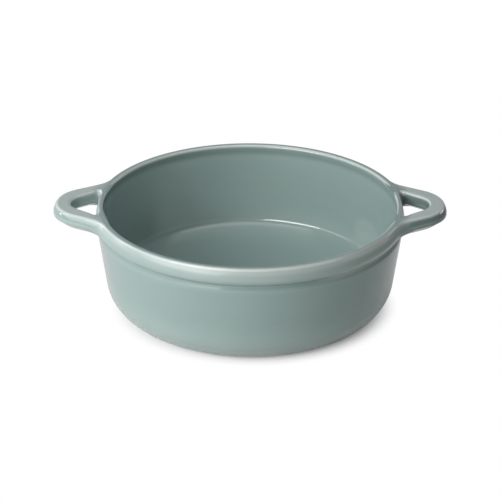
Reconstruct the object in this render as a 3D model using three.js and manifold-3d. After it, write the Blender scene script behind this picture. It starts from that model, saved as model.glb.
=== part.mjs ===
import * as THREE from 'three';
import { mergeVertices } from 'three/addons/utils/BufferGeometryUtils.js';
import Module from 'manifold-3d';

// Round glazed oven dish with two loop handles, in millimetres.
// +X runs through the handles, +Z is up, and the origin is on the table under the centre of the dish.

// Overall size and rim band
const height = 90;
const rimDiameter = 247;
const rimWidth = 7.3;
const bandHeight = 15;
const bandTopRound = 3;
const bandTopFall = 7.5;
const bandLowerFall = 7;
const mouthRound = 1.5;

// Bowl wall and floor
const shoulderInset = 2.6;
const grooveDepth = 1.1;
const shoulderFall = 5.5;
const wallTaper = THREE.MathUtils.degToRad(8);
const wallThickness = 6;
const baseCornerRadius = 29;
const floorThickness = 11.3;
const floorFilletRadius = 10;
const baseRecess = 3;
const recessRun = 6;
const recessMargin = 3;

// Foot ring
const footHeight = 1.2;
const footDiameter = 166;
const footWidth = 5;
const footChamfer = 0.5;

// Handles
const handleReach = 32.3;
const handleThickness = 14;
const handleEdgeRound = 4;
const tipRadius = 30.4;
const flankAngle = THREE.MathUtils.degToRad(30);
const rootFilletRadius = 22;
const bowWidth = 14.3;
const holeEndRadius = 15;
const holeSideAngle = THREE.MathUtils.degToRad(36);
const holeCornerRadius = 2.5;
const rootLap = 1.5;
const jointGap = 0.35;

// Smoothness of the round forms
const turnSteps = 80;
const profileArcSteps = 3;
const planArcSteps = 6;
const edgeSteps = 4;

// Places that follow from the sizes
const bandRadius = rimDiameter / 2;
const mouthRadius = bandRadius - rimWidth;
const rootRadius = bandRadius - rootLap;
const seatZ = height - bandHeight;
const shoulderRadius = bandRadius - shoulderInset;
const neckRadius = shoulderRadius - grooveDepth;
const wallTopZ = seatZ - shoulderFall;
const recessZ = footHeight + baseRecess;
const floorZ = recessZ + floorThickness;
const wallSlope = Math.tan(wallTaper);
const wallAcross = wallThickness / Math.cos(wallTaper);

// Radius of the outer and of the inner wall face at a height
const outerWallAt = (z) => shoulderRadius - (wallTopZ - z) * wallSlope;
const innerWallAt = (z) => outerWallAt(z) - wallAcross;

// Centre radius of an arc that is tangent to a tapered wall face and to a level face below it
const arcCentreRadius = (wallAt, arcRadius, centreZ) => wallAt(centreZ) - arcRadius / Math.cos(wallTaper);

const glaze = new THREE.MeshStandardMaterial({ color: 0x8ea29f, roughness: 0.2, metalness: 0 });
const bandGlaze = new THREE.MeshStandardMaterial({ color: 0x9db0ac, roughness: 0.18, metalness: 0 });
const handleGlaze = new THREE.MeshStandardMaterial({ color: 0x97aaa7, roughness: 0.2, metalness: 0 });
const bareClay = new THREE.MeshStandardMaterial({ color: 0xd2c6b2, roughness: 0.85, metalness: 0 });

// A turned solid from a profile of radius and height
function turn(profile) {
  const geometry = new THREE.LatheGeometry(profile.getPoints(profileArcSteps), turnSteps);
  return geometry.rotateX(Math.PI / 2);
}

// Recessed underside, base corner, tapered wall and rounded shoulder, up to the flat seat of the rim band
function bowlGeometry() {
  const cornerZ = footHeight + baseCornerRadius;
  const cornerRadius = arcCentreRadius(outerWallAt, baseCornerRadius, cornerZ);
  const recessRadius = footDiameter / 2 - footWidth - recessMargin;
  const filletZ = floorZ + floorFilletRadius;
  const filletRadius = arcCentreRadius(innerWallAt, floorFilletRadius, filletZ);
  const profile = new THREE.Path();
  profile.moveTo(0, recessZ);
  profile.lineTo(recessRadius - recessRun, recessZ);
  profile.lineTo(recessRadius, footHeight);
  profile.lineTo(cornerRadius, footHeight);
  profile.absarc(cornerRadius, cornerZ, baseCornerRadius, -Math.PI / 2, -wallTaper, false);
  profile.absellipse(neckRadius, wallTopZ, grooveDepth, shoulderFall, 0, Math.PI / 2, false);
  profile.lineTo(innerWallAt(seatZ), seatZ);
  profile.absarc(filletRadius, filletZ, floorFilletRadius, -wallTaper, -Math.PI / 2, true);
  profile.lineTo(0, floorZ);
  return turn(profile);
}

// Rolled band: level seat, rounded lower lip, rounded outer edge, flat top and soft mouth edge
function plainBandGeometry() {
  const profile = new THREE.Path();
  profile.moveTo(innerWallAt(seatZ), seatZ);
  profile.lineTo(neckRadius, seatZ);
  profile.absellipse(neckRadius, seatZ + bandLowerFall, bandRadius - neckRadius, bandLowerFall,
    -Math.PI / 2, 0, false);
  profile.absellipse(bandRadius - bandTopRound, height - bandTopFall, bandTopRound, bandTopFall,
    0, Math.PI / 2, false);
  profile.absarc(mouthRadius + mouthRound, height - mouthRound, mouthRound, Math.PI / 2, Math.PI, false);
  profile.closePath();
  return turn(profile);
}

// Low standing ring with a chamfer at each lower edge
function footRingGeometry() {
  const outer = footDiameter / 2;
  const inner = outer - footWidth;
  const profile = new THREE.Path();
  profile.moveTo(inner + footChamfer, 0);
  profile.lineTo(outer - footChamfer, 0);
  profile.lineTo(outer, footChamfer);
  profile.lineTo(outer, footHeight);
  profile.lineTo(inner, footHeight);
  profile.lineTo(inner, footChamfer);
  profile.closePath();
  return turn(profile);
}

// Space that the dish takes up behind a handle root, a joint gap larger than the dish all round
function dishEnvelopeGeometry() {
  const lowZ = height - 2 * handleThickness;
  const highZ = height + handleThickness;
  const lapAngle = Math.acos(1 - rootLap / bandTopRound);
  const profile = new THREE.Path();
  profile.moveTo(0, lowZ);
  profile.lineTo(outerWallAt(lowZ) + jointGap, lowZ);
  profile.absellipse(neckRadius + jointGap, wallTopZ, grooveDepth, shoulderFall, 0, Math.PI / 2, false);
  profile.absellipse(neckRadius + jointGap, seatZ + bandLowerFall, bandRadius - neckRadius, bandLowerFall,
    -Math.PI / 2, 0, false);
  profile.absellipse(bandRadius - bandTopRound + jointGap, height - bandTopFall, bandTopRound, bandTopFall,
    0, lapAngle, false);
  profile.lineTo(bandRadius - rootLap + jointGap, highZ);
  profile.lineTo(0, highZ);
  return turn(profile);
}

// Centre of a fillet between the circle that the root laps and a straight side.
// The side is tangent to a circle on the X axis, and filletSide is 1 outside it and -1 inside it.
function filletCentre(endX, endRadius, sideAngle, filletRadius, filletSide) {
  const normal = new THREE.Vector2(Math.sin(sideAngle), Math.cos(sideAngle));
  const along = new THREE.Vector2(-Math.cos(sideAngle), Math.sin(sideAngle));
  const start = new THREE.Vector2(endX, 0).addScaledVector(normal, endRadius + filletSide * filletRadius);
  const reach = rootRadius + filletRadius;
  const half = start.dot(along);
  const run = -half - Math.sqrt(half * half - start.lengthSq() + reach * reach);
  return start.addScaledVector(along, run);
}

// Outline of the D-shaped finger hole on the +X side, which runs a little way into the rim band
function fingerHole(outline) {
  const holeX = bandRadius + handleReach - bowWidth - holeEndRadius;
  const corner = filletCentre(holeX, holeEndRadius, holeSideAngle, holeCornerRadius, -1);
  const cornerTurn = Math.PI + corner.angle();
  const sideTurn = Math.PI / 2 - holeSideAngle;
  outline.absarc(corner.x, corner.y, holeCornerRadius, cornerTurn, sideTurn, true);
  outline.absarc(holeX, 0, holeEndRadius, sideTurn, -sideTurn, true);
  outline.absarc(corner.x, -corner.y, holeCornerRadius, -sideTurn, -cornerTurn, true);
  outline.absarc(0, 0, rootRadius, -corner.angle(), corner.angle(), false);
  return outline;
}

// Plan of one handle on the +X side: fillet, straight flank, round tip and back, with the finger hole
function handlePlan() {
  const tailX = rootRadius - 2 * rootFilletRadius;
  const tipX = bandRadius + handleReach - tipRadius;
  const outerFillet = filletCentre(tipX, tipRadius, flankAngle, rootFilletRadius, 1);
  const outerTurn = Math.PI - outerFillet.angle();
  const flankTurn = Math.PI / 2 + flankAngle;
  const tipTurn = Math.PI / 2 - flankAngle;
  const tailY = outerFillet.y * rootRadius / outerFillet.length();
  const plan = new THREE.Shape();
  plan.moveTo(tailX, tailY);
  plan.lineTo(tailX, -tailY);
  plan.absarc(outerFillet.x, -outerFillet.y, rootFilletRadius, outerTurn, flankTurn, true);
  plan.absarc(tipX, 0, tipRadius, -tipTurn, tipTurn, false);
  plan.absarc(outerFillet.x, outerFillet.y, rootFilletRadius, -flankTurn, -outerTurn, true);
  plan.closePath();
  plan.holes.push(fingerHole(new THREE.Path()));
  return plan;
}

// Closed triangle mesh as a solid for joining and cutting
function asSolid(wasm, geometry) {
  const bare = geometry.clone();
  bare.deleteAttribute('normal');
  bare.deleteAttribute('uv');
  const merged = mergeVertices(bare);
  return new wasm.Manifold(new wasm.Mesh({
    numProp: 3,
    vertProperties: new Float32Array(merged.attributes.position.array),
    triVerts: new Uint32Array(merged.index.array),
  }));
}

// Triangle mesh of a solid
function asGeometry(solid) {
  const mesh = solid.getMesh();
  const geometry = new THREE.BufferGeometry();
  geometry.setAttribute('position', new THREE.BufferAttribute(mesh.vertProperties, 3));
  geometry.setIndex(new THREE.BufferAttribute(mesh.triVerts, 1));
  geometry.computeVertexNormals();
  return geometry;
}

// Loop with rounded edges, cut back at its roots to sit against the band and the wall
function handleGeometry(wasm) {
  const loop = new THREE.ExtrudeGeometry(handlePlan(), {
    depth: handleThickness - 2 * handleEdgeRound,
    bevelThickness: handleEdgeRound,
    bevelSize: handleEdgeRound,
    bevelOffset: -handleEdgeRound,
    bevelSegments: edgeSteps,
    curveSegments: planArcSteps,
  });
  loop.translate(0, 0, height - handleThickness + handleEdgeRound);
  return asGeometry(asSolid(wasm, loop).subtract(asSolid(wasm, dishEnvelopeGeometry())));
}

// Rolled band with the finger holes let into its outer face
function rimBandGeometry(wasm) {
  const punch = new THREE.ExtrudeGeometry(fingerHole(new THREE.Shape()), {
    depth: 3 * bandHeight,
    bevelEnabled: false,
    curveSegments: planArcSteps,
  });
  punch.translate(0, 0, seatZ - bandHeight);
  const rightPunch = asSolid(wasm, punch);
  const leftPunch = asSolid(wasm, punch.rotateZ(Math.PI));
  return asGeometry(asSolid(wasm, plainBandGeometry()).subtract(rightPunch).subtract(leftPunch));
}

const wasm = await Module();
wasm.setup();

// Named mesh, turned about the upright axis
function piece(name, geometry, material, turnAngle = 0) {
  const mesh = new THREE.Mesh(geometry, material);
  mesh.name = name;
  mesh.rotation.z = turnAngle;
  return mesh;
}

const handle = handleGeometry(wasm);
const dish = new THREE.Group();
dish.name = 'casserole_dish';
dish.add(piece('bowl', bowlGeometry(), glaze));
dish.add(piece('rim_band', rimBandGeometry(wasm), bandGlaze));
dish.add(piece('right_handle', handle, handleGlaze));
dish.add(piece('left_handle', handle, handleGlaze, Math.PI));
dish.add(piece('foot_ring', footRingGeometry(), bareClay));

export default dish;
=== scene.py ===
import bpy
import numpy as np
from mathutils import Matrix, Vector


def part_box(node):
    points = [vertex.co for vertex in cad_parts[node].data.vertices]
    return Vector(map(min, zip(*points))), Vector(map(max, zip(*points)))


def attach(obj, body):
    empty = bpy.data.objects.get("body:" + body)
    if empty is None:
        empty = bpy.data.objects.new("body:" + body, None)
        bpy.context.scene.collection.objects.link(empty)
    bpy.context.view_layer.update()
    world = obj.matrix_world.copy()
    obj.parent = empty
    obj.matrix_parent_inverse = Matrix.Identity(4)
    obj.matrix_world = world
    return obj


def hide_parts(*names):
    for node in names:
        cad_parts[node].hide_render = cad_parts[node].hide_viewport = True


# Round glazed dish with two loop handles. Metres, +X through the handles, +Z up, -Y towards the camera.

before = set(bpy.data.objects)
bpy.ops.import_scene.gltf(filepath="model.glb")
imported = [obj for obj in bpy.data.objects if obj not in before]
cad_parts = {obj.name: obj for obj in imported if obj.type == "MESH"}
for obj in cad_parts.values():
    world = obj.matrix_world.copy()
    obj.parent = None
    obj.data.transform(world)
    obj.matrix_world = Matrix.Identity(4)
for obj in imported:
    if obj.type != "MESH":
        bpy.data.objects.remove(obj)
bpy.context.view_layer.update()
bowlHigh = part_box("bowl")[1]
bandLow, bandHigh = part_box("rim_band")
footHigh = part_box("foot_ring")[1]
rightLow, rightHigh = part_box("right_handle")
print("frame loaded:", sorted(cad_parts))

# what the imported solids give
mm = 0.001
rimTop = bandHigh.z
seatZ = bandLow.z
bandRadius = bandHigh.y
shoulderRadius = bowlHigh.x
footRadius = footHigh.x
footTop = footHigh.z
tipX = rightHigh.x
handleLow = rightLow.z

# camera: photograph's angle, from a fit of the rim, base and handle outlines
view = dict(elevation=25.47, roll=0.2, distance=1.8194, aim=(0.00005, 0.0, 0.0481), focal=2275.9,
            imageWidth=500, sensor=36)


def addCamera():
    lift = np.radians(view["elevation"])
    roll = np.radians(view["roll"])
    back = Vector((0, -np.cos(lift), np.sin(lift)))
    side = Vector((1, 0, 0))
    up = back.cross(side)
    right = side * np.cos(roll) + up * np.sin(roll)
    top = up * np.cos(roll) - side * np.sin(roll)
    data = bpy.data.cameras.new("photo_camera")
    data.sensor_width = view["sensor"]
    data.lens = view["focal"] * view["sensor"] / view["imageWidth"]
    camera = bpy.data.objects.new("photo_camera", data)
    bpy.context.scene.collection.objects.link(camera)
    place = Vector(view["aim"]) + back * view["distance"]
    turn = Matrix((right, top, back)).transposed().to_4x4()
    camera.matrix_world = Matrix.Translation(place) @ turn
    bpy.context.scene.camera = camera


addCamera()
print("camera placed")


# curves
def smooth(value):
    value = np.clip(value, 0, 1)
    return value * value * (3 - 2 * value)


def bell(distance, reach):
    # exp(-(distance / reach) squared)
    return np.exp(-(distance / reach) ** 2)


def ellipseArc(centre, radii, start, end, count):
    # points of an ellipse between two angles in degrees
    angle = np.radians(np.linspace(start, end, count))
    return np.stack([centre[0] + radii[0] * np.cos(angle), centre[1] + radii[1] * np.sin(angle)], -1)


def straight(first, last, count):
    # points on a line, without its two ends
    share = np.linspace(0, 1, count + 2)[1:-1, None]
    return np.asarray(first) * (1 - share) + np.asarray(last) * share


def evenly(points, count):
    # the same polyline with points at equal distances
    step = np.linalg.norm(np.diff(points, axis=0), axis=1)
    run = np.concatenate([[0], np.cumsum(step)])
    want = np.linspace(0, run[-1], count)
    return np.stack([np.interp(want, run, column) for column in points.T], -1)


def easedRun(first, last, firstSlope, lastSlope, count):
    # cubic in height between two (radius, height) points with given slopes of radius over height
    t = np.linspace(0, 1, count)
    rise = last[1] - first[1]
    r = first[0] + (last[0] - first[0]) * smooth(t)
    r = r + rise * (firstSlope * t * (1 - t) ** 2 - lastSlope * t * t * (1 - t))
    return np.stack([r, first[1] + rise * t], -1)


def rounded(corners, cuts, count):
    # polyline whose inner corners are quadratic curves, each between points a cut before and after it
    corners = np.asarray(corners, float)
    t = np.linspace(0, 1, count)[:, None]
    parts = [corners[:1]]
    for before, corner, after, cut in zip(corners[:-2], corners[1:-1], corners[2:], cuts):
        start = corner + cut * (before - corner) / np.linalg.norm(before - corner)
        end = corner + cut * (after - corner) / np.linalg.norm(after - corner)
        parts.append((1 - t) ** 2 * start + 2 * t * (1 - t) * corner + t ** 2 * end)
    return np.concatenate(parts + [corners[-1:]])


# meshes
sharpAngle = 40  # degrees


def gridFaces(rows, columns, wrapRows):
    # quads between neighbours of a grid of points, whose columns always close on themselves
    row = np.arange(rows if wrapRows else rows - 1)[:, None]
    column = np.arange(columns)[None, :]
    nextRow = (row + 1) % rows
    nextColumn = (column + 1) % columns
    corners = [row * columns + nextColumn, nextRow * columns + nextColumn,
               nextRow * columns + column, row * columns + column]
    return np.stack(corners, -1).reshape(-1, 4).tolist()


def makePiece(name, points, faces, attributes):
    mesh = bpy.data.meshes.new(name)
    mesh.from_pydata(points.reshape(-1, 3).tolist(), [], faces)
    mesh.validate()
    for label, values in attributes.items():
        layer = mesh.attributes.new(label, "FLOAT", "POINT")
        layer.data.foreach_set("value", np.asarray(values, np.float32).ravel())
    mesh.polygons.foreach_set("use_smooth", np.ones(len(mesh.polygons), bool))
    mesh.set_sharp_from_angle(angle=np.radians(sharpAngle))
    mesh.update()
    piece = bpy.data.objects.new(name, mesh)
    bpy.context.scene.collection.objects.link(piece)
    return piece


def turnAngles(turns):
    return np.linspace(0, 2 * np.pi, turns, endpoint=False)


def spin(profile, turns, inset=0):
    # point = ((r - inset) cos a, (r - inset) sin a, z), rows along the profile and columns round the axis
    angle = turnAngles(turns)
    r = profile[:, :1] - inset
    x = r * np.cos(angle)
    return np.stack([x, r * np.sin(angle), np.broadcast_to(profile[:, 1:], x.shape)], -1)


# bowl: tapered wall, soft shoulder under the groove, dished floor and the recess of the base
bowl = dict(wall=6 * mm, taper=8, shoulderFall=5.5 * mm, corner=29 * mm, floor=11.3 * mm, dishRise=7.7 * mm,
            dishPower=7, dishPole=4 * mm, crease=4.5 * mm, creaseRun=6 * mm, creasePool=0.4,
            creaseReach=1.5 * mm, recess=3 * mm, recessRun=6 * mm, recessMargin=3 * mm, turns=320)
# rim band: corners of its outer side with the cut that rounds each, its mouth and the notches of the handles
rim = dict(width=7.3 * mm, edgeInset=2.3 * mm, edgeCut=1.2 * mm, edgeFlat=1.6 * mm, bevelInset=0.4 * mm,
           bevelFall=5.4 * mm, bevelCut=2 * mm, crestOut=0.24 * mm, crestFall=9 * mm, crestCut=2 * mm,
           lipInset=1.2 * mm, lipRise=1.6 * mm, lipCut=2.3 * mm, mouthRound=2.4 * mm, mouthLean=18,
           grooveDepth=0.9 * mm, notch=1.5 * mm, notchEdge=2.5, notchRise=4 * mm, notchFrom=1 * mm,
           notchRun=2 * mm, turns=320)

neckRadius = shoulderRadius - rim["grooveDepth"]
mouthRadius = bandRadius - rim["width"]
edgeRadius = bandRadius - rim["edgeInset"]
crestZ = rimTop - rim["crestFall"]
wallTopZ = seatZ - bowl["shoulderFall"]
wallSlope = np.tan(np.radians(bowl["taper"]))
slant = np.cos(np.radians(bowl["taper"]))


def outerWall(z):
    return shoulderRadius - (wallTopZ - z) * wallSlope


def innerWall(z):
    return outerWall(z) - bowl["wall"] / slant


def shoulderProfile(count):
    # soft shoulder of the bowl, from the tapered wall in to the bottom of the groove
    return easedRun((shoulderRadius, wallTopZ), (neckRadius, seatZ), wallSlope, 0, count)


def bandOuterProfile(count):
    # outer side of the band: out of the groove, over the crest, up face and bevel to the flat top's edge
    corners = [(neckRadius, seatZ),
               (bandRadius - rim["lipInset"], seatZ + rim["lipRise"]),
               (bandRadius + rim["crestOut"], crestZ),
               (bandRadius - rim["bevelInset"], rimTop - rim["bevelFall"]),
               (edgeRadius, rimTop),
               (edgeRadius - rim["edgeFlat"], rimTop)]
    side = rounded(corners, (rim["lipCut"], rim["crestCut"], rim["bevelCut"], rim["edgeCut"]), 16)
    side[:, 0] += bandRadius - side[:, 0].max()
    return evenly(side, count)


# glaze on the dish: shares of thin glaze and painted light, and of gathered glaze and painted shade, with
# their places and reaches
marks = dict(edgeOut=0.6 * mm, edgeFall=1.2 * mm, edgeReach=1.4 * mm,
             faceThinAndLight=0.25, faceTop=0.3 * mm, faceTopRun=0.8 * mm, faceFoot=5 * mm, faceFootRun=4 * mm,
             faceInner=3 * mm, upperPaintedLight=0.27, upperFall=7 * mm, upperRun=4 * mm,
             mouthThin=0.9, mouthOut=0.7 * mm, mouthReach=1.2 * mm,
             shoulderPaintedLight=0.05, shoulderRise=1.5 * mm, shoulderReach=2.2 * mm,
             lowPaintedLight=0.26, lowFrom=45 * mm, lowRun=40 * mm, lowInset=12 * mm, lowInsetRun=9 * mm,
             groovePoolAndShade=0.6, grooveReach=2.4 * mm, grooveSlack=0.1 * mm,
             flatPaintedShade=0.8, flatInset=1.2 * mm, flatRun=1 * mm, flatFall=0.2 * mm,
             underFall=6.2 * mm, underReach=2.3 * mm, underOut=2.5 * mm)
# painted light on the front right, and painted shade on the band's face on the front left
quarterPaintedLight = dict(begin=40 * mm, beginRun=40 * mm, end=118 * mm, endRun=14 * mm,
                    bevelPaintedLight=0.85, bevelFall=2.5 * mm, bevelReach=3 * mm,
                    lipPaintedLight=0.4, lipRise=2 * mm, lipReach=2 * mm, groovePaintedLight=1.3, leftPaintedShade=0.35)


def sideMarks(profile):
    # first share: glaze drawn off edges, 1 on the line of an edge, and painted light on the band's face, the
    # shoulder and the low wall; second share: glaze gathered in the groove, with painted shade there, on the
    # flat top and under the mouth
    r, z = profile.T
    m = marks

    def near(radius, height, reach):
        return bell(np.hypot(r - radius, z - height), reach)

    edges = near(edgeRadius + m["edgeOut"], rimTop - m["edgeFall"], m["edgeReach"])
    # thin glaze and painted light on the band's face, the painted light growing towards the top edge
    onFace = smooth((rimTop - m["faceTop"] - z) / m["faceTopRun"])
    onFace = onFace * smooth((z - crestZ + m["faceFoot"]) / m["faceFootRun"])
    upper = smooth((z - rimTop + m["upperFall"]) / m["upperRun"])
    face = (m["faceThinAndLight"] + m["upperPaintedLight"] * upper) * onFace * smooth((r - mouthRadius) / m["faceInner"])
    mouth = m["mouthThin"] * near(mouthRadius + m["mouthOut"], rimTop - m["mouthOut"], m["mouthReach"])
    # painted light: a lighter line along the top of the bowl's shoulder
    shoulder = m["shoulderPaintedLight"] * near(shoulderRadius, wallTopZ + m["shoulderRise"], m["shoulderReach"])
    # painted light: the outside of the wall lighter towards the bottom, where light from the floor falls on
    # it
    outside = smooth((r - outerWall(z) + m["lowInset"]) / m["lowInsetRun"])
    low = m["lowPaintedLight"] * smooth((m["lowFrom"] - z) / m["lowRun"]) * outside
    # glaze gathered in the groove under the band darkens it, partly as painted shade
    groove = m["groovePoolAndShade"] * bell(z - seatZ, m["grooveReach"]) * (r > neckRadius - m["grooveSlack"])
    # painted shade: the flat top of the rim darker
    flat = smooth((r - mouthRadius - m["flatInset"]) / m["flatRun"])
    flat = flat * smooth((edgeRadius - r) / m["flatRun"])
    flat = m["flatPaintedShade"] * flat * (z > rimTop - m["flatFall"])
    # painted shade: the inside just under the mouth darker, below the overhanging lip
    under = bell(z - rimTop + m["underFall"], m["underReach"]) * (r < mouthRadius + m["underOut"])
    thinAndPaintedLight = np.max([edges, face, mouth, shoulder, low], 0)
    poolAndPaintedShade = np.max([groove, flat, under], 0)
    return np.stack([thinAndPaintedLight, poolAndPaintedShade], -1)


def quarter(points, side):
    # 1 on the front right, or the front left for side -1, eased to 0 elsewhere and at the handle's root
    q = quarterPaintedLight
    x = points[..., 0] * side
    inside = smooth((x - q["begin"]) / q["beginRun"]) * smooth((q["end"] - x) / q["endRun"])
    return inside * (points[..., 1] < 0)


# handles: plan of the loop, lengths over which its side changes, how it sinks into the band, and steps
loop = dict(fillet=22 * mm, flankAngle=30, tip=30.4 * mm, bow=14.3 * mm, holeEnd=15 * mm, holeSide=36,
            holeCorner=1.2 * mm, under=0.006 * mm, outerBlend=22 * mm, innerBlend=7 * mm, tipBlend=28 * mm,
            sink=np.array([1.2, 0.5, 0.12]) * mm, sinkRun=np.array([9, 5, 2]) * mm, wallLead=6 * mm,
            planSteps=(30, 14, 26), sideSteps=80, fineSteps=400, acrossSteps=6)
# its sides in millimetres: edge of the flat top, widest line and lower edge with the cut that rounds each,
# and the painted shade on the side
loopSides = dict(
    flank=dict(edgeInset=2.3, edgeCut=2.2, crestFall=6.4, crestCut=3.6, lowInset=2.5, sidePaintedShade=0.6),
    tip=dict(edgeInset=2.7, edgeCut=2.4, crestFall=6.6, crestCut=3.4, lowInset=1.8, sidePaintedShade=0.6),
    hole=dict(edgeInset=0.7, edgeCut=2.4, crestFall=8, crestCut=2, lowInset=1.2, sidePaintedShade=1.6))
sideEnds = dict(lowCut=4, lowRun=1, topRun=0.6)
# their glaze marks, painted light and painted shade, also in millimetres; the right loop's sides carry more
# painted shade than the left's
loopMarks = dict(edgeFall=0.4, edgeReach=1.5, crestThin=0.3, crestReach=1.3, topPaintedLight=0.42, topRun=0.5,
                 shadeFall=1, shadeRun=1.5)
paintedShadeOn = dict(right=2.3, left=0.2)


def rootFillet(rootRadius, endX, endRadius, angle, fillet, side):
    # centre of a fillet between the root circle and a line tangent to the end circle, and the line's normal
    a = np.radians(angle)
    normal = np.array([np.sin(a), np.cos(a)])
    along = np.array([-np.cos(a), np.sin(a)])
    start = np.array([endX, 0]) + normal * (endRadius + side * fillet)
    half = start @ along
    run = -half - np.sqrt(half * half - start @ start + (rootRadius + fillet) ** 2)
    return start + along * run, normal


# plans of the loop: root circle, end circle, slope of the side, fillet, 1 outside or -1 in the finger hole
outerPlan = (bandRadius, tipX - loop["tip"], loop["tip"], loop["flankAngle"], loop["fillet"], 1)
holeRoot = bandRadius - rim["notch"]
holePlan = (holeRoot, tipX - loop["bow"] - loop["holeEnd"], loop["holeEnd"], loop["holeSide"],
            loop["holeCorner"], -1)
holeCorner = rootFillet(*holePlan)[0]
holeHalfAngle = np.degrees(np.arctan2(holeCorner[1], holeCorner[0]))


def notchAt(angle):
    # how deep the finger holes run into the band at an angle round the axis
    off = np.abs(np.degrees(np.arcsin(np.sin(angle))))
    return rim["notch"] * (1 - smooth((off - holeHalfAngle + rim["notchEdge"] / 2) / rim["notchEdge"]))


def notchWeight(profile):
    # the finger holes push only the outer side of the band in, and not its foot in the groove
    r, z = profile.T
    outside = smooth((r - mouthRadius - rim["notchFrom"]) / rim["notchRun"])
    return smooth((z - seatZ) / rim["notchRise"]) * outside


def plunge(radius, angle, direction):
    # points that carry on along the root circle and sink below it
    turn = angle + direction * loop["sinkRun"] / radius
    depth = radius - loop["sink"]
    return np.stack([depth * np.cos(turn), depth * np.sin(turn)], -1)


def outlineHalf(rootRadius, endX, endRadius, angle, fillet, side):
    # plan of one side of the loop from the root to the tip: fillet arc, straight flank, end arc
    arcSteps, flankSteps, endSteps = loop["planSteps"]
    centre, normal = rootFillet(rootRadius, endX, endRadius, angle, fillet, side)
    rootAngle = np.arctan2(centre[1], centre[0])
    first = np.degrees(rootAngle) + 180
    last = np.degrees(np.arctan2(-side * normal[1], -side * normal[0]))
    last = last + 360 * np.round((first - last) / 360)
    arc = ellipseArc(centre, (fillet, fillet), first, last, arcSteps)
    end = ellipseArc((endX, 0), (endRadius, endRadius), 90 - angle, 0, endSteps)
    points = np.concatenate([arc, straight(arc[-1], end[0], flankSteps), end])
    flankOut = np.repeat(side * normal[None], flankSteps, 0)
    endOut = side * (end - np.array([endX, 0])) / endRadius
    outward = np.concatenate([(centre - arc) / fillet, flankOut, endOut])
    sunk = plunge(rootRadius, rootAngle, side)
    sunkOut = sunk / np.linalg.norm(sunk, axis=1)[:, None]
    step = np.linalg.norm(np.diff(points, axis=0), axis=1)
    run = np.concatenate([np.zeros(len(sunk) + 1), np.cumsum(step)])
    return np.concatenate([sunk, points]), np.concatenate([sunkOut, outward]), run


def dishSide(rootRadius, lowest, notched):
    # outer side of the dish as inset from the root circle, height and marks, from the wall up to the edge
    leadZ = wallTopZ - loop["wallLead"]
    wall = np.array([[outerWall(leadZ), leadZ]])
    side = np.concatenate([wall, shoulderProfile(24)[:-1], bandOuterProfile(60)])
    side = evenly(side, loop["fineSteps"])
    glazed = sideMarks(side)
    if notched:
        side[:, 0] -= rim["notch"] * notchWeight(side)
    side[:, 0] = rootRadius - side[:, 0]
    return evenly(np.concatenate([side, glazed], 1)[side[:, 1] >= lowest], loop["sideSteps"])


def handleSide(edgeInset, edgeCut, crestFall, crestCut, lowInset, sidePaintedShade):
    # side of the loop as inset, height and marks: lower edge, widest line and edge of the flat top
    m = loopMarks
    low = (handleLow - rimTop) / mm
    lowCut = sideEnds["lowCut"]
    corners = [(lowInset + lowCut + sideEnds["lowRun"], low), (lowInset, low), (0, -crestFall),
               (edgeInset, 0), (edgeInset + edgeCut + sideEnds["topRun"], 0)]
    side = rounded(corners, (lowCut, crestCut, edgeCut), 20)
    side[:, 0] -= side[:, 0].min()
    side = evenly(side, loop["fineSteps"])
    inset, height = side.T
    edge = bell(np.hypot(inset - edgeInset, height + m["edgeFall"]), m["edgeReach"])
    crest = m["crestThin"] * bell(np.hypot(inset, height + crestFall), m["crestReach"])
    # painted light: the flat top of the loop lighter
    top = m["topPaintedLight"] * smooth((height + m["topRun"]) / m["topRun"])
    # painted shade: the side below the flat top darker, most in the finger hole
    poolAndPaintedShade = sidePaintedShade * smooth((-height - m["shadeFall"]) / m["shadeRun"])
    glazed = np.stack([np.max([edge, crest, top], 0), poolAndPaintedShade], -1)
    return evenly(np.concatenate([side * mm + np.array([0, rimTop]), glazed], 1), loop["sideSteps"])


def sweepSide(plan, rootSide, flankSide, tipSide, blend):
    # the side carried along the plan: the dish's own side at the root, then the flank's, then the tip's
    points, outward, run = outlineHalf(*plan)
    toFlank = smooth(run / blend)[:, None, None]
    toTip = smooth((run - run[-1]) / loop["tipBlend"] + 1)[:, None, None]
    side = flankSide * (1 - toTip) + tipSide * toTip
    side = rootSide * (1 - toFlank) + side * toFlank
    across = points[:, None, :] - outward[:, None, :] * side[:, :, :1]
    return np.concatenate([across, side[:, :, 1:]], -1)


def buildHandle(name, turned, gatheredAndShaded):
    flankSide, tipSide, holeSide = [handleSide(**loopSides[part]) for part in ("flank", "tip", "hole")]
    outer = sweepSide(outerPlan, dishSide(bandRadius, seatZ, False), flankSide, tipSide, loop["outerBlend"])
    inner = sweepSide(holePlan, dishSide(holeRoot, handleLow, True), holeSide, holeSide, loop["innerBlend"])
    share = np.linspace(0, 1, loop["acrossSteps"] + 2)[1:-1, None]
    top = outer[:, -1:, :] * (1 - share) + inner[:, -1:, :] * share
    low = inner[:, :1, :] * (1 - share) + outer[:, :1, :] * share
    half = np.concatenate([outer, top, inner[:, ::-1], low], 1)
    sink = np.concatenate([loop["sink"], np.zeros(len(half) - len(loop["sink"]))])
    half[:, :, 2] -= sink[:, None] + loop["under"]
    # the other half is its mirror image, and the left loop is the right one turned half round
    grid = np.concatenate([half, half[-2::-1] * np.array([1, -1, 1, 1, 1])])
    points = grid[..., :3] * np.array([-1, -1, 1]) if turned else grid[..., :3]
    rows, columns = points.shape[:2]
    faces = gridFaces(rows, columns, False)
    faces += [list(range(columns)), list(range((rows - 1) * columns, rows * columns))[::-1]]
    return makePiece(name, points, faces, {"thinAndPaintedLight": grid[..., 3], "poolAndPaintedShade": grid[..., 4] * gatheredAndShaded})


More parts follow.
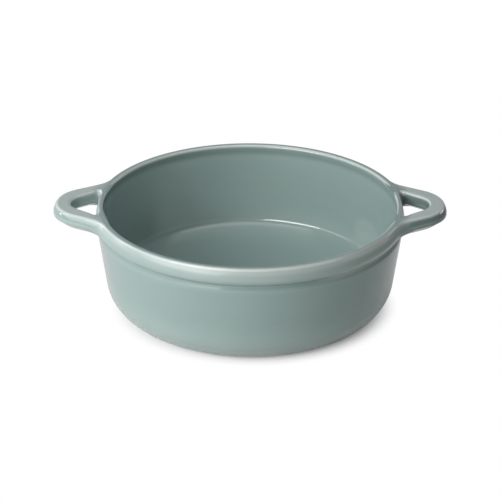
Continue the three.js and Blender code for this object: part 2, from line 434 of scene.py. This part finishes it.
def buildBand():
    q = quarterPaintedLight
    outer = bandOuterProfile(84)
    lean = rim["mouthLean"]
    mouth = ellipseArc((mouthRadius + rim["mouthRound"], rimTop - rim["mouthRound"]),
                       (rim["mouthRound"], rim["mouthRound"]), 90, 180 + lean, 16)
    # below the mouth the inside is slightly hollow and runs into the slope of the wall
    hollow = easedRun(mouth[-1], (innerWall(seatZ), seatZ), -np.tan(np.radians(lean)), wallSlope, 24)[1:]
    profile = np.concatenate([outer, straight(outer[-1], mouth[0], 5), mouth, hollow,
                              straight(hollow[-1], outer[0], 4)])
    r, z = profile.T
    points = spin(profile, rim["turns"], notchWeight(profile)[:, None] * notchAt(turnAngles(rim["turns"])))
    thinAndPaintedLight, poolAndPaintedShade = sideMarks(profile).T[:, :, None]
    # on the front right, painted light on the bevel, over the lip and in the groove below it, where the
    # gathered glaze and painted shade below the crest are taken out; on the front left the face has painted
    # shade
    bevel = q["bevelPaintedLight"] * bell(z - rimTop + q["bevelFall"], q["bevelReach"]) * (r > edgeRadius)
    lip = q["lipPaintedLight"] * bell(z - seatZ - q["lipRise"], q["lipReach"])
    lip = lip * (r > neckRadius - marks["grooveSlack"])
    right = quarter(points, 1)
    thinAndPaintedLight = thinAndPaintedLight * (1 - q["leftPaintedShade"] * quarter(points, -1))
    thinAndPaintedLight = np.maximum(thinAndPaintedLight, np.maximum(lip, bevel)[:, None] * right)
    poolAndPaintedShade = poolAndPaintedShade * (1 - right * (z < crestZ)[:, None])
    faces = gridFaces(*points.shape[:2], True)
    return makePiece("rim_band_glazed", points, faces, {"thinAndPaintedLight": thinAndPaintedLight, "poolAndPaintedShade": poolAndPaintedShade})


def buildBowl():
    cornerZ = footTop + bowl["corner"]
    cornerR = outerWall(cornerZ) - bowl["corner"] / slant
    recessZ = footTop + bowl["recess"]
    recessR = footRadius - foot["width"] - bowl["recessMargin"]
    floorZ = recessZ + bowl["floor"]
    creaseZ = floorZ + bowl["dishRise"]
    creaseR = innerWall(creaseZ)
    recess = easedRun((recessR - bowl["recessRun"], recessZ), (recessR, footTop), 0, 0, 9)
    corner = ellipseArc((cornerR, cornerZ), (bowl["corner"], bowl["corner"]), -90, -bowl["taper"], 28)
    shoulder = shoulderProfile(20)
    seam = np.array([[innerWall(seatZ), seatZ]])
    # the floor is dished, height = rise (r / edge radius) ^ power, and meets the wall at a soft crease
    dishR = np.linspace(creaseR - bowl["creaseRun"], bowl["dishPole"], 40)
    dish = np.stack([dishR, floorZ + bowl["dishRise"] * (dishR / creaseR) ** bowl["dishPower"]], -1)
    above = creaseZ + bowl["creaseRun"]
    crease = rounded([(innerWall(above), above), (creaseR, creaseZ), dish[0]], [bowl["crease"]], 16)
    outside = np.concatenate([straight((0, recessZ), recess[0], 10), recess,
                              straight(recess[-1], corner[0], 3), corner,
                              straight(corner[-1], shoulder[0], 20), shoulder])
    inside = np.concatenate([seam, straight(seam[0], crease[0], 24), crease, dish[1:]])
    profile = np.concatenate([outside, straight(outside[-1], inside[0], 4), inside])
    r, z = profile.T
    points = spin(profile, bowl["turns"])
    rows, columns = points.shape[:2]
    # a fan of triangles closes each pole
    poles = np.array([[0, 0, recessZ], [0, 0, floorZ]])
    ring = np.arange(columns)
    after = (ring + 1) % columns
    last = (rows - 1) * columns
    faces = gridFaces(rows, columns, False)
    faces += np.stack([ring, np.full(columns, rows * columns), after], -1).tolist()
    faces += np.stack([last + after, np.full(columns, rows * columns + 1), last + ring], -1).tolist()
    thinAndPaintedLight, gatheredAndShaded = sideMarks(profile).T[:, :, None]
    inCrease = bowl["creasePool"] * bell(np.hypot(r - creaseR, z - creaseZ), bowl["creaseReach"])
    # painted light: on the front right the shoulder under the groove is lighter, and its gathered glaze and
    # painted shade are taken out
    right = quarter(points, 1) * (z > wallTopZ)[:, None]
    thinAndPaintedLight = np.maximum(thinAndPaintedLight, quarterPaintedLight["groovePaintedLight"] * gatheredAndShaded * right)
    poolAndPaintedShade = np.maximum(gatheredAndShaded, inCrease[:, None]) * (1 - right)
    thinAndPaintedLight, poolAndPaintedShade = [np.concatenate([values.ravel(), [0, 0]]) for values in (thinAndPaintedLight, poolAndPaintedShade)]
    return makePiece("bowl_glazed", np.concatenate([points.reshape(-1, 3), poles]), faces,
                     {"thinAndPaintedLight": thinAndPaintedLight, "poolAndPaintedShade": poolAndPaintedShade})


# foot ring
foot = dict(width=5 * mm, chamfer=0.5 * mm, turns=240)


def buildFoot():
    # low ring with rounded lower edges
    innerR = footRadius - foot["width"]
    c = foot["chamfer"]
    profile = np.concatenate([
        [[innerR, footTop]], straight((innerR, footTop), (innerR, c), 1),
        ellipseArc((innerR + c, c), (c, c), 180, 270, 6), straight((innerR + c, 0), (footRadius - c, 0), 4),
        ellipseArc((footRadius - c, c), (c, c), 270, 360, 6), [[footRadius, footTop]]])
    points = spin(profile, foot["turns"])
    return makePiece("foot_ring_bare", points, gridFaces(*points.shape[:2], True), {})


bowlPiece = buildBowl()
bandPiece = buildBand()
rightPiece = buildHandle("right_handle_glazed", False, paintedShadeOn["right"])
leftPiece = buildHandle("left_handle_glazed", True, paintedShadeOn["left"])
footPiece = buildFoot()
builtPieces = (bowlPiece, bandPiece, rightPiece, leftPiece, footPiece)
print("pieces built:", [len(piece.data.polygons) for piece in builtPieces])


# shader maths: wraps a socket so that expressions add Math nodes
class Value:
    def __init__(self, tree, socket):
        self.tree = tree
        self.socket = socket

    def math(self, operation, first, second):
        node = self.tree.nodes.new("ShaderNodeMath")
        node.operation = operation
        for slot, value in zip(node.inputs, (first, second)):
            feed(self.tree, slot, value)
        return Value(self.tree, node.outputs[0])

    def __add__(self, other):
        return self.math("ADD", self, other)

    def __radd__(self, other):
        return self.math("ADD", other, self)

    def __sub__(self, other):
        return self.math("SUBTRACT", self, other)

    def __rsub__(self, other):
        return self.math("SUBTRACT", other, self)

    def __mul__(self, other):
        return self.math("MULTIPLY", self, other)

    def __rmul__(self, other):
        return self.math("MULTIPLY", other, self)


def feed(tree, slot, value):
    # a wrapped socket is linked, anything else is set
    if isinstance(value, Value):
        tree.links.new(value.socket, slot)
    else:
        slot.default_value = value


class Finish:
    def __init__(self, holder):
        self.holder = holder
        holder.use_nodes = True
        self.tree = holder.node_tree
        self.tree.nodes.clear()

    def add(self, kind, *inputs, output=0, settings=None, **sockets):
        # settings first, then the values or links of the sockets, in their order or by name
        node = self.tree.nodes.new(kind)
        for key, value in (settings or {}).items():
            setattr(node, key, value)
        for slot, value in zip(node.inputs, inputs):
            feed(self.tree, slot, value)
        for key, value in sockets.items():
            label = key.replace("_", " ")
            feed(self.tree, next(s for s in node.inputs if s.name == label and s.enabled), value)
        return Value(self.tree, node.outputs[output])

    def mix(self, share, first, second):
        # colours: first at share 0, second at share 1
        return self.add("ShaderNodeMix", output=2, settings=dict(data_type="RGBA"),
                        Factor=share, A=first, B=second)

    def ease(self, value, **ends):
        # smooth step of a value from its low end to its high end
        return self.add("ShaderNodeMapRange", settings=dict(interpolation_type="SMOOTHSTEP"),
                        Value=value, **ends)

    def output(self, shader, kind="ShaderNodeOutputMaterial"):
        end = self.tree.nodes.new(kind)
        self.tree.links.new(shader.socket, end.inputs["Surface"])
        return self.holder


# glaze: colours, gloss, patterns and their shares
glaze = dict(body=(0.252, 0.35, 0.338, 1), pale=(0.295, 0.38, 0.362, 1), thinnedAndLitTone=(0.68, 0.71, 0.685, 1),
             pooledAndShadedTone=(0.15, 0.215, 0.205, 1), roughness=0.14, cloudRoughness=0.06, edgeRoughness=0.14,
             coat=0.6, edgeCoat=0.4, coatRoughness=0.03, ior=1.5,
             cloud=dict(Scale=38.0, Detail=4.0, Roughness=0.55),
             grain=dict(Scale=900.0, Detail=2.0, Roughness=0.5),
             streak=dict(Scale=1.0, Detail=3.0, Roughness=0.6), streakStretch=(4, 4, 420),
             cloudShare=0.35, streakShare=0.35, poolAndShadeShare=0.55, thinAndLightShare=0.6, thinAndLightCloud=0.4,
             grainShare=0.02, ripple=0.04, rippleDepth=0.0004)


def glazeFinish():
    f = Finish(bpy.data.materials.new("celadon_glaze"))
    place = f.add("ShaderNodeTexCoord", output="Object")
    thinAndPaintedLight = f.add("ShaderNodeAttribute", output="Fac", settings=dict(attribute_name="thinAndPaintedLight"))
    poolAndPaintedShade = f.add("ShaderNodeAttribute", output="Fac", settings=dict(attribute_name="poolAndPaintedShade"))
    cloud = f.add("ShaderNodeTexNoise", Vector=place, **glaze["cloud"])
    grain = f.add("ShaderNodeTexNoise", Vector=place, **glaze["grain"])
    # fine level streaks left by turning: noise that is stretched along x and y
    level = f.add("ShaderNodeMapping", Vector=place, Scale=glaze["streakStretch"])
    streak = f.add("ShaderNodeTexNoise", Vector=level, **glaze["streak"])
    tone = f.mix(cloud * glaze["cloudShare"] + streak * glaze["streakShare"], glaze["body"], glaze["pale"])
    # the pooled tone darkens gathered glaze and painted shade, the thinned tone lightens thin glaze and
    # painted light
    tone = f.mix(poolAndPaintedShade * glaze["poolAndShadeShare"], tone, glaze["pooledAndShadedTone"])
    tone = f.mix(thinAndPaintedLight * (glaze["thinAndLightShare"] + cloud * glaze["thinAndLightCloud"]), tone, glaze["thinnedAndLitTone"])
    # thin glaze on an edge is less glossy, and so are the places of painted light
    rough = glaze["roughness"] + cloud * glaze["cloudRoughness"] + thinAndPaintedLight * glaze["edgeRoughness"]
    coat = glaze["coat"] - thinAndPaintedLight * glaze["edgeCoat"]
    ripple = f.add("ShaderNodeBump", Strength=glaze["ripple"], Distance=glaze["rippleDepth"],
                   Height=cloud + grain * glaze["grainShare"])
    shader = f.add("ShaderNodeBsdfPrincipled", Base_Color=tone, Roughness=rough, Coat_Weight=coat,
                   Coat_Roughness=glaze["coatRoughness"], IOR=glaze["ior"], Normal=ripple)
    return f.output(shader)


# bare clay
clay = dict(body=(0.55, 0.47, 0.37, 1), speck=(0.36, 0.29, 0.22, 1), roughness=0.85, gritRoughness=0.1,
            cloud=dict(Scale=120.0, Detail=5.0, Roughness=0.6),
            grit=dict(Scale=1800.0, Detail=3.0, Roughness=0.6),
            cloudShare=0.5, gritShare=0.2, bump=0.4, bumpDepth=0.0003)


def clayFinish():
    f = Finish(bpy.data.materials.new("bare_clay"))
    place = f.add("ShaderNodeTexCoord", output="Object")
    cloud = f.add("ShaderNodeTexNoise", Vector=place, **clay["cloud"])
    grit = f.add("ShaderNodeTexNoise", Vector=place, **clay["grit"])
    tone = f.mix(cloud * clay["cloudShare"] + grit * clay["gritShare"], clay["body"], clay["speck"])
    bump = f.add("ShaderNodeBump", Strength=clay["bump"], Distance=clay["bumpDepth"], Height=grit)
    shader = f.add("ShaderNodeBsdfPrincipled", Base_Color=tone, Normal=bump,
                   Roughness=clay["roughness"] + grit * clay["gritRoughness"])
    return f.output(shader)


glazeMaterial = glazeFinish()
clayMaterial = clayFinish()
for piece, node in ((bowlPiece, "bowl"), (bandPiece, "rim_band"), (rightPiece, "right_handle"),
                    (leftPiece, "left_handle")):
    piece.data.materials.append(glazeMaterial)
    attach(piece, "root")
    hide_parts(node)
footPiece.data.materials.append(clayMaterial)
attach(footPiece, "root")
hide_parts("foot_ring")
print("finishes set")


# floor and room
studio = dict(floorSize=8.0, floorColour=(0.54, 0.6, 0.59, 1), seenColour=(0.9, 0.9, 0.9, 1), seenGlow=0.03,
              shadowCentre=(0.003, 0.001, 0), shadowScale=(0.96, 1.03, 1), shadowFull=0.086,
              shadowGone=0.113, shadowMirrored=0.17, mirrorLeft=0.75, mirrorRight=0.46, mirrorReach=0.35,
              darkFrom=0.18, darkTo=0.42, darkShare=0.35, room=(0.01, 0.0105, 0.011, 1),
              backdrop=(0.38, 0.4, 0.43, 1), backdropFrom=0.3, backdropTo=0.7, lampTarget=(0, 0, 0.05))
# lamps: direction to the left of the camera, height above the table in degrees, distance, size, watts
lamps = dict(
    softbox=dict(turn=39, lift=25.5, away=1.3, size=(1.15, 0.34), power=14.2, colour=(0.97, 0.945, 0.93)),
    lowbox=dict(turn=45, lift=7, away=1.3, size=(1.2, 0.2), power=2.2),
    side=dict(turn=85, lift=18, away=1.3, size=(0.7, 0.6), power=3.5, colour=(0.95, 0.98, 1)),
    spot=dict(turn=102, lift=2.4, away=1.3, size=(0.13, 0.08), power=0.6),
    edge=dict(turn=-118, lift=5, away=1.3, size=(0.6, 0.16), power=1.4, colour=(1, 0.99, 0.96)),
    overhead=dict(turn=-60, lift=88, away=1.6, size=(1.6, 1.6), power=11.5, colour=(0.98, 1, 0.99)))


def addFloor():
    # matt pale table; the camera and gloss see it white, with the dish's shadow only close to its base
    half = studio["floorSize"] / 2
    mesh = bpy.data.meshes.new("studio_floor")
    corners = [(-half, -half, 0), (half, -half, 0), (half, half, 0), (-half, half, 0)]
    mesh.from_pydata(corners, [], [(0, 1, 2, 3)])
    floor = bpy.data.objects.new("studio_floor", mesh)
    bpy.context.scene.collection.objects.link(floor)
    f = Finish(bpy.data.materials.new("studio_floor"))
    place = f.add("ShaderNodeTexCoord", output="Object")
    direct = f.add("ShaderNodeLightPath", output="Is Camera Ray")
    mirrored = f.add("ShaderNodeLightPath", output="Is Glossy Ray")
    off = f.add("ShaderNodeMapping", Vector=place, Location=[-c for c in studio["shadowCentre"]],
                Scale=studio["shadowScale"])
    far = f.add("ShaderNodeVectorMath", off, output="Value", settings=dict(operation="LENGTH"))
    # in the glaze the shadow reaches further out than the camera sees it
    reach = studio["shadowGone"] + mirrored * (studio["shadowMirrored"] - studio["shadowGone"])
    gone = f.ease(far, From_Min=studio["shadowFull"], From_Max=reach)
    # gloss sees the table brighter on the side of the lamps
    across = f.add("ShaderNodeSeparateXYZ", place, output="X")
    mirror = f.ease(across, From_Min=-studio["mirrorReach"], From_Max=studio["mirrorReach"],
                    To_Min=studio["mirrorLeft"], To_Max=studio["mirrorRight"])
    mirror = mirror * f.ease(across, From_Min=studio["darkFrom"], From_Max=studio["darkTo"],
                             To_Min=1.0, To_Max=studio["darkShare"])
    matt = f.add("ShaderNodeBsdfDiffuse", Color=studio["floorColour"])
    pale = f.add("ShaderNodeBsdfDiffuse", Color=studio["seenColour"])
    glow = f.add("ShaderNodeEmission", Strength=studio["seenGlow"])
    white = f.add("ShaderNodeEmission", Strength=mirror + (1 - mirror) * direct)
    shaded = f.add("ShaderNodeAddShader", pale, glow)
    seen = f.add("ShaderNodeMixShader", gone, shaded, white)
    mesh.materials.append(f.output(f.add("ShaderNodeMixShader", direct + mirrored, matt, seen)))


def addLamp(name, turn, lift, away, size, power, colour=(1, 1, 1)):
    data = bpy.data.lights.new(name, "AREA")
    data.shape = "RECTANGLE"
    data.size, data.size_y = size
    data.energy = power
    data.color = colour
    lamp = bpy.data.objects.new(name, data)
    bpy.context.scene.collection.objects.link(lamp)
    turn, lift = np.radians((turn, lift))
    toward = Vector((-np.sin(turn) * np.cos(lift), -np.cos(turn) * np.cos(lift), np.sin(lift)))
    lamp.location = Vector(studio["lampTarget"]) + toward * away
    lamp.rotation_euler = (-toward).to_track_quat("-Z", "Y").to_euler()


def addWorld():
    # dim room in front and at the sides, pale backdrop behind the dish, white where the camera looks past it
    world = bpy.data.worlds.new("studio")
    bpy.context.scene.world = world
    f = Finish(world)
    direction = f.add("ShaderNodeTexCoord", output="Generated")
    depth = f.add("ShaderNodeSeparateXYZ", direction, output="Y")
    behind = f.ease(depth, From_Min=studio["backdropFrom"], From_Max=studio["backdropTo"])
    lit = f.add("ShaderNodeBackground", Color=f.mix(behind, studio["room"], studio["backdrop"]))
    seen = f.add("ShaderNodeBackground", Color=(1, 1, 1, 1))
    direct = f.add("ShaderNodeLightPath", output="Is Camera Ray")
    f.output(f.add("ShaderNodeMixShader", direct, lit, seen), "ShaderNodeOutputWorld")


addFloor()
addWorld()
for lampName, lamp in lamps.items():
    addLamp(lampName, **lamp)
bpy.context.scene.view_settings.view_transform = "Standard"
print("studio lit")
